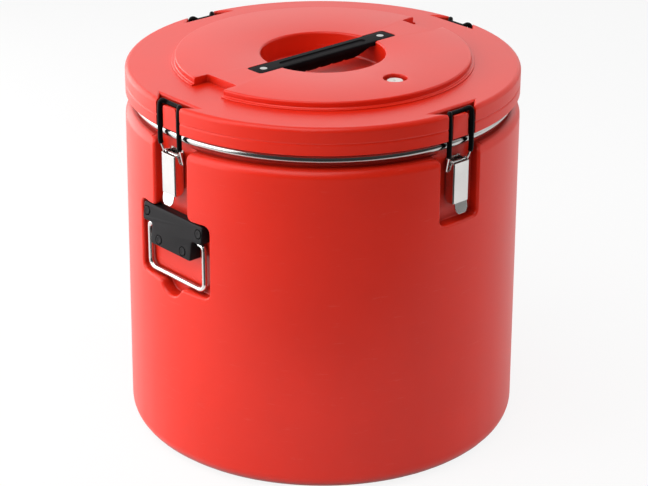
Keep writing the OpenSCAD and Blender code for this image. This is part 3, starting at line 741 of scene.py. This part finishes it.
class CONTAINER_OT_lid(bpy.types.Operator):
    """Models the lid's moulded top and the pan below it"""

    bl_idname = "container.lid"
    bl_label = "Lid"

    def execute(self, context):
        shape, red = context.scene.container_shape, skin(context.scene)
        lid = lathe("lid", self.profile(), self.sweeps())
        self.cut_hooks(lid)
        self.cut_plateau(lid)
        combine(lid, self.cavity())
        round_edges(lid, self.at_hook, shape.hook_edge)
        round_edges(lid, self.at_notch, shape.notch_edge)
        stand_for(lid, ["lid_shell"], "lid", red, 35, lid_normal)
        pan = lathe("lid_pan", self.pan_profile(), [(360, 128)])
        for angle in SIDES.values():
            cut_through(pan, self.slot(), growth=LID_WALL + LID_GAP, angle=angle)
        cut_through(pan, circle((0, VENT_Y), PAN_HOLE_R, 24))
        stand_for(pan, ["lid_base"], "lid", red)
        return {"FINISHED"}

    def sweeps(self):
        half = [(4.3, 1), (3.6, 1), (3.6, 1), (33.5, 9)]
        return (half + half[::-1]) * len(SIDES)

    def profile(self):
        seam_z, seam, turn = LID_Z + 12.3, LID_SEAM, 3.0
        ledge_r, step, slope = PLATEAU_R + LID_LEDGE, 2.5, 0.9
        return ([(0, POCKET_Z)] + bend((POCKET_R, POCKET_Z), turn, -90, 0, 4)
                + bend((POCKET_R, PLATEAU_TOP), POCKET_ROUND, 180, 90, 5)
                + bend((PLATEAU_R, PLATEAU_TOP), PLATEAU_ROUND, 90, 0, 5)
                + [(PLATEAU_R, LID_TOP + step), (PLATEAU_R + slope, LID_TOP + step - slope)]
                + arc((ledge_r - seam, LID_TOP + seam), seam, 90, 0, 3) + [(ledge_r, LID_TOP)]
                + bend((LID_R, LID_TOP), LID_ROUND, 90, 0, 8)
                + [(LID_R, seam_z + 2 * seam), (LID_R - seam, seam_z), (LID_R, seam_z - 2 * seam),
                   (LID_R, LID_Z + seam), (LID_R - seam, LID_Z), (0, LID_Z)])

    def cavity(self):
        """Room for the foam: inside the lid's wall and round the linings of what is cut into its top."""
        side_r, step_r, pocket_r = LID_R - LID_WALL, PLATEAU_R - LID_WALL, POCKET_R + LID_WALL
        step_z, roof, floor = LID_TOP - LID_WALL, PLATEAU_TOP - LID_WALL, POCKET_Z - LID_WALL
        low, post_wall = LID_Z - 1, 3.0
        cavity = lathe("cavity_tool", [
            (0, low), (side_r, low), (side_r, step_z), (step_r, step_z), (step_r, roof),
            (pocket_r, roof), (pocket_r, floor), (0, floor)], [(360, 96)])
        for angle in SIDES.values():
            cut_through(cavity, self.hook_pocket(), HOOK_FLOOR - LID_WALL, LID_WALL, angle)
            cut_through(cavity, self.slot(), growth=LID_WALL, angle=angle)
        for angle in (0, 180):
            cut_through(cavity, self.notch(), step_z, LID_WALL, angle)
        for outline in (self.seat(), self.vent()):
            cut_through(cavity, outline, PLATEAU_TOP - SEAT_DEPTH - LID_WALL, LID_WALL)
        cut_through(cavity, self.vent_hole(), growth=post_wall)
        return cavity

    def hook_pocket(self):
        mouth_r, mouth_half = 210.0, 18.5
        return [(HOOK_R, -HOOK_HALF), (mouth_r, -mouth_half), (mouth_r, mouth_half), (HOOK_R, HOOK_HALF)]

    def slot(self):
        """Where the loop's legs pass the lid's side."""
        slot_r, slot_half, out_r = 207.5, 19.3, LID_R + 7
        return [(slot_r, -slot_half), (out_r, -slot_half), (out_r, slot_half), (slot_r, slot_half)]

    def notch(self):
        out_r, turn = LID_R - 14, 2.5
        return (bend((NOTCH_R, -NOTCH_HALF), turn, 180, 270, 4)
                + [(out_r, -NOTCH_HALF), (out_r, NOTCH_HALF)]
                + bend((NOTCH_R, NOTCH_HALF), turn, 90, 180, 4))

    def seat(self):
        length, width, turn = HANDLE_BAR
        return rounded(length + 2 * LID_GAP, width + 2 * LID_GAP, turn)

    def vent(self):
        return circle((0, VENT_Y), VENT_R, 48)

    def vent_hole(self):
        return circle((0, VENT_Y), VENT_HOLE_R, 24)

    def pan_profile(self):
        plug_r, plug_z, turn, wall = 175.5, 370.0, 8.0, LID_WALL
        flange_r = LID_R - LID_WALL - LID_GAP
        groove_in, groove_out, groove_z = 195.0, 203.0, LID_Z + 2
        return ([(0, plug_z)] + bend((plug_r, plug_z), turn, -90, 0, 6)
                + [(plug_r, LID_Z), (groove_in, LID_Z), (groove_in, groove_z), (groove_out, groove_z),
                   (groove_out, LID_Z), (flange_r, LID_Z), (flange_r, LID_Z + wall),
                   (plug_r - wall, LID_Z + wall)]
                + arc((plug_r - turn, plug_z + turn), turn - wall, 0, -90, 4) + [(0, plug_z + wall)])

    def cut_hooks(self, lid):
        """Opens the four hook pockets and stands a tab in each."""
        flare = 3.0
        tab_half, tab_in, tab_out, tab_top, turn = 10.5, 207.3, 210.5, 407.5, 3.0
        angles = [math.radians(angle) for angle in (0, 20, 40, 60, 80)]
        levels = [(LID_TOP - flare * (1 - math.sin(a)), flare * (1 - math.cos(a))) for a in angles]
        tool = upright("hook_tool", self.hook_pocket(), [(HOOK_FLOOR, 0)] + levels + [(OVER_LID, flare)])
        combine(tool, upright("slot_tool", self.slot(), [(UNDER_LID, 0), (OVER_LID, 0)]), "UNION")
        outline = ([(-tab_half, LID_Z), (tab_half, LID_Z)]
                   + bend((tab_half, tab_top), turn, 0, 90, 5)
                   + bend((-tab_half, tab_top), turn, 90, 180, 5))
        tab = outward("tab_tool", outline, (tab_in, tab_out))
        for angle in SIDES.values():
            combine(lid, copied(tool, "hook_copy", angle))
        for angle in SIDES.values():
            combine(lid, copied(tab, "tab_copy", angle), "UNION")
        discard(tool, tab)

    def cut_plateau(self, lid):
        """Cuts the two edge notches, the seat of the handle and the vent's hollow and hole."""
        seat_floor, lip = PLATEAU_TOP - SEAT_DEPTH, ((-0.8, 0), (-0.2, 0.35), (0.4, 1.2))
        for angle in (180, 0):
            cut_through(lid, self.notch(), LID_TOP, angle=angle)
        cut_through(lid, self.seat(), seat_floor)
        hollow = [(seat_floor, 0)] + [(PLATEAU_TOP + rise, growth) for rise, growth in lip]
        combine(lid, upright("hollow_tool", self.vent(), hollow + [(OVER_LID, lip[-1][1])]))
        cut_through(lid, self.vent_hole())

    def at_hook(self, place):
        spare, over = 1.0, 0.5
        side, reach = sorted((abs(place.x), abs(place.y)))
        beside = reach > (HOOK_R + spare) * MM and side < (HOOK_HALF + spare) * MM
        return beside and place.z > (LID_Z + over) * MM

    def at_notch(self, place):
        spare, past, over = 1.0, 6.0, 0.1
        along = (NOTCH_R - spare) * MM < abs(place.x) < (PLATEAU_R + past) * MM
        return along and abs(place.y) < (NOTCH_HALF + spare) * MM and place.z > (LID_TOP + over) * MM


def bent(points, radii, steps=6):
    """A route through points, with each inner corner bent by its own radius."""
    places = [Vector(point) for point in points]
    route = places[:1]
    for before, here, after, radius in zip(places, places[1:], places[2:], radii):
        come, go = (here - before).normalized(), (after - here).normalized()
        turn = come.angle(go)
        centre = here + (go - come).normalized() * radius / math.cos(turn / 2)
        start = here - come * radius * math.tan(turn / 2) - centre
        axis = come.cross(go).normalized()
        route += [centre + Matrix.Rotation(turn * i / steps, 3, axis) @ start for i in range(steps + 1)]
    return route + places[-1:]


def rod(name, route, radius, sides=14):
    """A round rod along a route."""
    rings = []
    across = (route[1] - route[0]).orthogonal()
    for i, place in enumerate(route):
        along = (route[min(i + 1, len(route) - 1)] - route[max(i - 1, 0)]).normalized()
        across = (across - along * across.dot(along)).normalized()
        other = along.cross(across)
        angles = [math.tau * k / sides for k in range(sides)]
        rings.append([place + radius * (math.cos(a) * across + math.sin(a) * other) for a in angles])
    return block(name, rings)


class CONTAINER_OT_filling(bpy.types.Operator):
    """Finishes the foam, the pot and the gasket"""

    bl_idname = "container.filling"
    bl_label = "Foam, pot and gasket"

    def execute(self, context):
        colours = context.scene.container_finish
        paint_nodes(poured_foam(tuple(colours.foam)), ["insulation_foam", "lid_foam"])
        # Painted shade: the pot's steel is darkened to 0.8 of the other steel, standing in for dark
        # reflections on its rim
        pot_painted_dark_steel = shade(tuple(colours.steel), 0.8)
        paint_nodes(bright_steel("pot_steel", pot_painted_dark_steel, 0.12, (1.0, 1.0, 26.0), 0.0003), ["inner_pot"])
        paint_nodes(plain_rubber("gasket_rubber", tuple(colours.gasket), 0.6), ["lid_gasket"])
        return {"FINISHED"}


class CONTAINER_OT_latches(bpy.types.Operator):
    """Models the wire loops with their sleeves and finishes the latch bases, pins, rivets and levers"""

    bl_idname = "container.latches"
    bl_label = "Latches"

    def execute(self, context):
        colours = context.scene.container_finish
        steel = tuple(colours.steel)
        lever_steel = bright_steel("lever_steel", steel, 0.12, (1.0, 1.0, 9.0), 0.0006)
        paint_nodes(lever_steel, on_sides("latch_lever"))
        wire_steel = bright_steel("wire_steel", steel, 0.10, (4.0, 4.0, 4.0), 0.0002)
        paint_nodes(wire_steel, on_sides("latch_base") + on_sides("latch_pin") + ["latch_rivets"])
        sleeve_plastic = moulded_black("sleeve_plastic", tuple(colours.sleeve), 0.3, 0.0003, 0.06)
        wire, sleeve = self.loop()
        for side, angle in SIDES.items():
            for piece, kind, slot, material in ((wire, "wire", "bright_steel", wire_steel),
                                                (sleeve, "sleeve", "sleeve", sleeve_plastic)):
                made = copied(piece, f"loop_{kind}_{side}", angle)
                stand_for(made, [f"latch_{kind}_{side}"], f"loop_{side}", material, 40)
        discard(wire, sleeve)
        return {"FINISHED"}

    def loop(self):
        """The wire from one peg in the lever round to the other, and the tube on it."""
        wire_r, sleeve_r, sleeve_start = 1.25, 2.7, 0.88
        peg, peg_end, knee, leg_top = (204.5, 13.2, 346.8), 9.9, (210.7, 15.7, 367.0), 398.0
        hip, bar = (209.6, 15.7, 412.5), (204.1, 10.0, 408.2)
        side = [(peg[0], peg_end, peg[2]), peg, knee, (knee[0], knee[1], leg_top), hip, bar]
        bends = [1.7, 12.0, 8.0, 3.0, 4.0]
        start = tuple(a + (b - a) * sleeve_start for a, b in zip(peg, knee))
        tube = [start] + side[2:]

        def both(half):
            return half + [(x, -t, z) for x, t, z in reversed(half)]

        wire = rod("loop_wire", bent(both(side), bends + bends[::-1]), wire_r)
        sleeve = rod("loop_sleeve", bent(both(tube), bends[1:] + bends[:0:-1]), sleeve_r, 18)
        return wire, sleeve


class CONTAINER_OT_grabs(bpy.types.Operator):
    """Models the brackets at the sides with their cover discs and finishes the drop handles"""

    bl_idname = "container.grabs"
    bl_label = "Drop handles"

    def execute(self, context):
        colours = context.scene.container_finish
        plastic = moulded_black("bracket_plastic", tuple(colours.black), 0.42, 0.0004, 0.17)
        bracket = self.bracket(context.scene.container_shape.bracket_edge)
        cap = self.cap()
        for side in GRAB_SIDES:
            made = copied(bracket, f"bracket_{side}", SIDES[side])
            stand_for(made, [f"handle_bracket_{side}"], "root", plastic, 30)
        caps = []
        for side in GRAB_SIDES:
            for along, height in CAP_PLACES:
                shift = (self.front(height), along, height)
                caps.append(placed(copied(cap, "cap_copy", 0, shift), SIDES[side]))
        discard(bracket, cap)
        discs = joined("cover_discs", caps)
        stand_for(discs, ["bracket_caps"], "root", plastic, 30)
        bail_steel = bright_steel("bail_steel", tuple(colours.steel), 0.1, (6.0, 6.0, 6.0), 0.0003)
        paint_nodes(bail_steel, on_sides("bail", GRAB_SIDES) + ["bracket_screws"])
        return {"FINISHED"}

    def front(self, height):
        """Distance of the bracket's sloping face from the axis."""
        return RECESS_R + BRACKET_THIN + (BRACKET_TOP - height) * BRACKET_SLOPE

    def bracket(self, edge_width):
        ear, wedge, turn, foot_turn, longest = 49.0, 33.5, 3.0, 2.0, 8.0
        seat_r, seat_depth, tool_length, off_face = 5.4, 2.0, 20.0, 0.1
        peg_place, peg_r, peg_in = (204.5, 264.95), 2.81, 21.5
        half = ([(0, BRACKET_LOW)]
                + bend((wedge, BRACKET_LOW), foot_turn, -90, 0, 4)
                + bend((wedge, EAR_LOW), turn, 180, 90, 5)
                + bend((ear, EAR_LOW), turn, -90, 0, 5)
                + bend((ear, BRACKET_TOP), turn, 0, 90, 5) + [(0, BRACKET_TOP)])
        outline = mirrored(stepped(half, longest))
        loops = [[(RECESS_R, t, z) for t, z in outline], [(self.front(z), t, z) for t, z in outline]]
        bracket = block("bracket", loops)

        def at_face(place):
            return place.x / MM > self.front(place.z / MM) - off_face

        round_edges(bracket, at_face, edge_width)
        for along, height in CAP_PLACES:
            floor = self.front(height) - seat_depth
            seat = circle((along, height), seat_r, 32)
            combine(bracket, outward("seat_tool", seat, (floor, floor + tool_length)))
        for hand in (-1, 1):
            peg = [[(x, hand * y, z) for x, z in circle(peg_place, peg_r, 24)] for y in (peg_in, ear)]
            combine(bracket, block("peg_tool", peg))
        return bracket

    def cap(self):
        """A cover disc with a rounded edge, square to the bracket's face."""
        radius, seat, proud, turn = 4.5, 1.9, 0.4, 0.7
        rim_r, dish_r, dish_z = radius - 1.6, radius - 2.2, proud - 0.15
        profile = [(0, -seat), (radius, -seat)] + bend((radius, proud), turn, 0, 90, 4) + [
            (rim_r, proud), (dish_r, dish_z), (0, dish_z)]
        cap = lathe("cap", profile, [(360, 32)])
        alone(cap)
        cap.rotation_euler = (0, math.radians(90) - math.atan(BRACKET_SLOPE), 0)
        bpy.ops.object.transform_apply(location=True, rotation=True, scale=True)
        return cap


class CONTAINER_OT_lid_fittings(bpy.types.Operator):
    """Models the lid's handle and the vent plug and finishes the handle's screws"""

    bl_idname = "container.lid_fittings"
    bl_label = "Lid fittings"

    def execute(self, context):
        colours = context.scene.container_finish
        handle = self.handle(context.scene.container_shape.handle_edge / MM)
        plastic = moulded_black("handle_plastic", tuple(colours.black), 0.45, 0.0004, 0.02)
        stand_for(handle, ["lid_handle"], "lid", plastic)
        plug = placed(self.plug(), 0, (0, VENT_Y, 0))
        vent_plastic = plain_rubber("vent_plastic", tuple(colours.vent), 0.35)
        stand_for(plug, ["vent_plug"], "vent", vent_plastic)
        screw_colour = shade(tuple(colours.steel), 0.55)
        screw_steel = bright_steel("screw_steel", screw_colour, 0.2, (8.0, 8.0, 8.0), 0.0003)
        paint_nodes(screw_steel, ["lid_handle_screws"])
        return {"FINISHED"}

    def handle(self, edge):
        """The bar with its groove and screw seats, and the waved grip below it."""
        plate_low, groove_floor, lip = PLATEAU_TOP - SEAT_DEPTH, PLATEAU_TOP - 1.2, 0.6
        groove_size, screw_x, screw_seat_r, screw_seat_z = (122.0, 8.0, 3.9), 84.0, 4.06, PLATEAU_TOP - 1.2
        handle = upright("lid_handle_bar", rounded(*HANDLE_BAR), crowned(plate_low, PLATEAU_TOP, edge))
        combine(handle, self.grip(plate_low), "UNION")
        groove = [(groove_floor, -lip), (groove_floor + lip, 0), (PLATEAU_TOP - lip / 2, 0),
                  (PLATEAU_TOP + lip / 2, lip), (OVER_LID, lip)]
        combine(handle, upright("groove_tool", rounded(*groove_size), groove))
        for hand in (-1, 1):
            cut_through(handle, circle((hand * screw_x, 0), screw_seat_r, 32), screw_seat_z)
        return handle

    def grip(self, plate_low):
        """A wedge under the bar whose lower edge is scalloped for four fingers."""
        heel, heel_z, slope_end, flat, low = 63.5, plate_low - 2, (47.5, 406.0), 41.5, 404.5
        wave_r, wave_step, wave_top = 14.0, 18.0, 417.2
        half_w, least, root, fine = 8.0, 0.4, plate_low + 0.5, 1.5

        def hollow(x):
            nearest = round(x / wave_step) * wave_step
            rise = wave_r ** 2 - (x - nearest) ** 2
            return max(low, wave_top - math.sqrt(rise)) if rise > 0 else low

        count = round(2 * flat / fine)
        waves = [-flat + 2 * flat * i / count for i in range(count + 1)]
        lower = ([(-heel, heel_z), (-slope_end[0], slope_end[1])] + [(x, hollow(x)) for x in waves]
                 + [slope_end, (heel, heel_z)])
        loops = []
        for angle in range(-90, 91, 15):
            cosine, sine = cos_sin(angle)
            across, share = half_w * sine, least + (1 - least) * cosine
            loops.append([(x, across, plate_low - (plate_low - z) * share) for x, z in lower]
                         + [(heel, across, root), (-heel, across, root)])
        return block("grip", loops)

    def plug(self):
        head_r, head_low, head_top, turn, stem_r, stem_low = 8.7, 416.3, 418.3, 1.0, 4.5, 402.3
        dot_r, dot_floor, dot_edge, dot_flare = 1.0, head_top - 1, head_top - 0.2, 0.3
        profile = ([(0, dot_floor), (dot_r, dot_floor), (dot_r, dot_edge), (dot_r + dot_flare, head_top)]
                   + bend((head_r, head_top), turn, 90, 0, 4)
                   + [(head_r, head_low), (stem_r, head_low), (stem_r, stem_low), (0, stem_low)])
        return lathe("vent_plug_head", profile, [(360, 48)])


class CONTAINER_OT_stage(bpy.types.Operator):
    """Sets the floor, the lamps, the world and the camera"""

    bl_idname = "container.stage"
    bl_label = "Studio stage"

    def execute(self, context):
        stage = context.scene.container_stage
        context.scene.view_settings.view_transform = "Standard"
        self.floor(stage)
        self.world(context.scene, stage)
        camera_angle = math.atan2(stage.camera_place[1], stage.camera_place[0])
        for name, (turn, distance, height, size) in SOFTBOXES.items():
            angle, power = camera_angle + math.radians(turn), getattr(stage, f"{name}_power")
            made = self.softbox(f"{name}_softbox", angle, distance, height, size, power)
            made.visible_glossy = name != UNMIRRORED
        self.camera(context.scene, stage)
        return {"FINISHED"}

    def to_camera(self, stage):
        """Level direction from the object to the camera."""
        return tuple((Vector(stage.camera_place) * Vector((1, 1, 0))).normalized())

    def floor(self, stage):
        bpy.ops.object.select_all(action="DESELECT")
        bpy.ops.mesh.primitive_circle_add(vertices=96, radius=FLOOR_R, fill_type="NGON")
        floor = bpy.context.object
        floor.name = "floor"
        finish = Finish("floor_paper")
        # Painted reflection: to glossy rays the floor glows near the object and takes a painted dark room
        # colour further out
        far = finish.ranged(finish.dot(finish.place, self.to_camera(stage)), *PAINTED_REFLECTION_EDGE)
        glossy = finish.ray("Is Glossy Ray")
        tone = finish.mixed(far * glossy, tuple(stage.floor_colour), PAINTED_DARK_ROOM)
        paper = finish.node("ShaderNodeBsdfDiffuse", None, {"Color": tone})
        glow = finish.node("ShaderNodeEmission", None, {"Color": (1.0, 1.0, 1.0), "Strength": 1.0})
        seen = finish.ray("Is Camera Ray") * FLOOR_GLOW + glossy * (1 - far) * MIRROR_GLOW
        both = finish.node("ShaderNodeMixShader", None, {0: seen, 1: paper.outputs[0], 2: glow.outputs[0]})
        finish.tree.links.new(both.outputs[0], finish.output.inputs["Surface"])
        floor.data.materials.append(finish.material)

    def world(self, scene, stage):
        """White to the camera, dimmer as a light, and dark on the camera's side in reflections."""
        world = scene.world = bpy.data.worlds.new("studio_world")
        room = Nodes(world)
        direction = room.node("ShaderNodeTexCoord").outputs["Generated"]
        front = room.dot(direction, self.to_camera(stage))
        mirrored_room = room.ranged(front, *DARK_TURN, 1.0, stage.dark_side)
        glossy = room.ray("Is Glossy Ray")
        plain = room.ray("Is Camera Ray") + room.ray("Is Transmission Ray")
        light = (1 - glossy - plain) * stage.world_light
        strength = plain + glossy * mirrored_room + light
        shader = room.node("ShaderNodeBackground", None, {"Color": (1.0, 1.0, 1.0), "Strength": strength})
        output = room.node("ShaderNodeOutputWorld")
        room.tree.links.new(shader.outputs[0], output.inputs["Surface"])

    def softbox(self, name, angle, distance, height, size, power):
        place = Vector((math.cos(angle) * distance, math.sin(angle) * distance, height))
        lamp = bpy.data.lights.new(name, "AREA")
        lamp.shape = "RECTANGLE"
        lamp.size, lamp.size_y = size
        lamp.energy = power
        made = bpy.data.objects.new(name, lamp)
        made.visible_camera = False
        made.location = place
        made.rotation_euler = (Vector(LAMP_AIM) - place).to_track_quat("-Z", "Y").to_euler()
        bpy.context.scene.collection.objects.link(made)
        return made

    def camera(self, scene, stage):
        data = bpy.data.cameras.new("photo_camera")
        data.sensor_width = 36.0
        data.lens = stage.lens
        data.clip_end = 50.0
        camera = bpy.data.objects.new("photo_camera", data)
        place = Vector(stage.camera_place)
        turn = (Vector(stage.camera_aim) - place).to_track_quat("-Z", "Y").to_matrix()
        roll = Matrix.Rotation(stage.camera_roll, 3, "Z")
        camera.matrix_world = Matrix.Translation(place) @ (turn @ roll).to_4x4()
        scene.collection.objects.link(camera)
        scene.camera = camera


STEPS = (
    CONTAINER_OT_shell, CONTAINER_OT_lid, CONTAINER_OT_filling, CONTAINER_OT_latches, CONTAINER_OT_grabs,
    CONTAINER_OT_lid_fittings, CONTAINER_OT_stage)
SETTINGS = {
    "container_shape": ShapeSettings, "container_finish": FinishSettings, "container_stage": StageSettings}


class CONTAINER_PT_panel(bpy.types.Panel):
    """Lists the container's steps and settings"""

    bl_label = "Food container"
    bl_idname = "CONTAINER_PT_panel"
    bl_space_type = "VIEW_3D"
    bl_region_type = "UI"
    bl_category = "Container"

    def draw(self, context):
        for step in STEPS:
            self.layout.operator(step.bl_idname)
        for group in SETTINGS:
            settings = getattr(context.scene, group)
            box = self.layout.box()
            for key in settings.bl_rna.properties.keys():
                if key not in ("rna_type", "name"):
                    box.prop(settings, key)


CLASSES = (*SETTINGS.values(), *STEPS, CONTAINER_PT_panel)


def register():
    for cls in CLASSES:
        bpy.utils.register_class(cls)
    for group, settings in SETTINGS.items():
        setattr(bpy.types.Scene, group, bpy.props.PointerProperty(type=settings))


def unregister():
    for group in SETTINGS:
        delattr(bpy.types.Scene, group)
    for cls in reversed(CLASSES):
        bpy.utils.unregister_class(cls)


def main():
    register()
    for step in STEPS:
        group, action = step.bl_idname.split(".")
        getattr(getattr(bpy.ops, group), action)()


if __name__ == "__main__":
    main()
